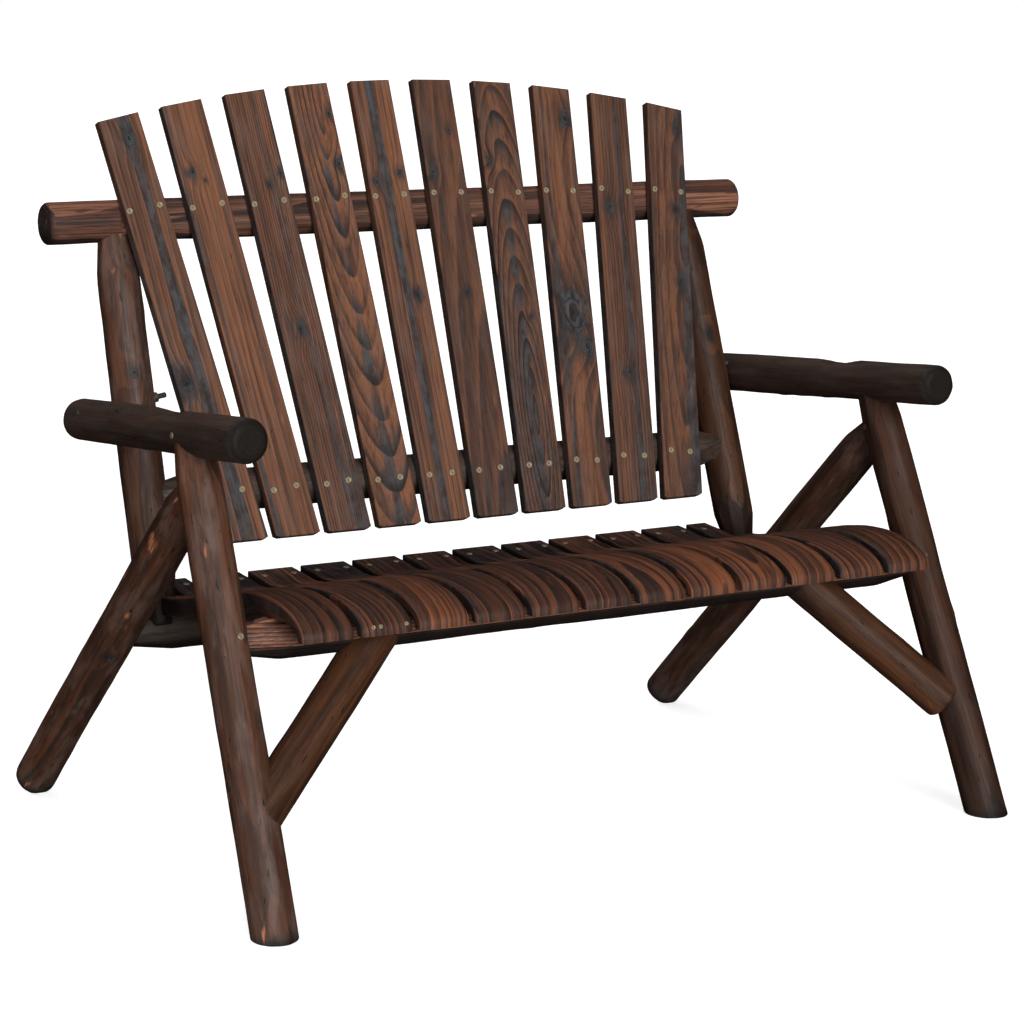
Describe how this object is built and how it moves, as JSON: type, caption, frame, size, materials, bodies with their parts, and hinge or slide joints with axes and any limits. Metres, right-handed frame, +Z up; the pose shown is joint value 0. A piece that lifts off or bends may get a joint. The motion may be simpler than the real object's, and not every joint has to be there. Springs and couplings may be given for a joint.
{
  "type": "garden bench",
  "caption": "Rustic two-seat garden bench of round burnt-wood logs, with a fanned vertical slat back, a contoured slat seat and round armrests.",
  "frame": {"origin": "on the floor, under the centre of the bench's bounding box", "axes": "+Z up, the front and the seat's edge face -Y, X along the bench"},
  "size_m": [1.2058, 0.8864, 1.0503],
  "materials": {
    "charred_log": "scorched dark brown round wood with a satin oil finish",
    "arm_log": "scorched nearly black round wood with a satin finish",
    "slat_board": "scorched and brushed reddish-brown softwood with a satin finish",
    "brass_screw": "dull yellow-passivated screw heads with cross recesses",
    "dark_steel": "darkened steel bolt, nut and washer"
  },
  "bodies": {
    "root": {"top_rail": "charred_log", "lower_back_rail": "charred_log", "front_beam": "charred_log", "rear_beam": "charred_log", "back_post_l": "charred_log", "back_post_r": "charred_log", "front_leg_l": "charred_log", "front_leg_r": "charred_log", "rear_leg_l": "charred_log", "rear_leg_r": "charred_log", "brace_l": "charred_log", "brace_r": "charred_log", "armrest_l": "arm_log", "armrest_r": "arm_log", "back_slat_01": "slat_board", "back_slat_02": "slat_board", "back_slat_03": "slat_board", "back_slat_04": "slat_board", "back_slat_05": "slat_board", "back_slat_06": "slat_board", "back_slat_07": "slat_board", "back_slat_08": "slat_board", "back_slat_09": "slat_board", "back_slat_10": "slat_board", "seat_slat_01": "slat_board", "seat_slat_02": "slat_board", "seat_slat_03": "slat_board", "seat_slat_04": "slat_board", "seat_slat_05": "slat_board", "seat_slat_06": "slat_board", "seat_slat_07": "slat_board", "seat_slat_08": "slat_board", "seat_slat_09": "slat_board", "seat_slat_10": "slat_board", "seat_slat_11": "slat_board", "seat_slat_12": "slat_board", "arm_bolt_l": "dark_steel", "arm_bolt_r": "dark_steel", "arm_nut_l": "dark_steel", "arm_nut_r": "dark_steel", "arm_washer_l": "dark_steel", "arm_washer_r": "dark_steel", "arm_screw_l": "brass_screw", "arm_screw_r": "brass_screw", "rear_leg_screw_l": "brass_screw", "rear_leg_screw_r": "brass_screw", "top_rail_screw_l": "brass_screw", "top_rail_screw_r": "brass_screw", "lower_rail_screw_l": "brass_screw", "lower_rail_screw_r": "brass_screw", "front_beam_screw_l": "brass_screw", "front_beam_screw_r": "brass_screw", "rear_beam_screw_l": "brass_screw", "rear_beam_screw_r": "brass_screw", "post_foot_screw_l": "brass_screw", "post_foot_screw_r": "brass_screw", "brace_leg_screw_l": "brass_screw", "brace_leg_screw_r": "brass_screw", "brace_beam_screw_l": "brass_screw", "brace_beam_screw_r": "brass_screw"}
  },
  "joints": []
}
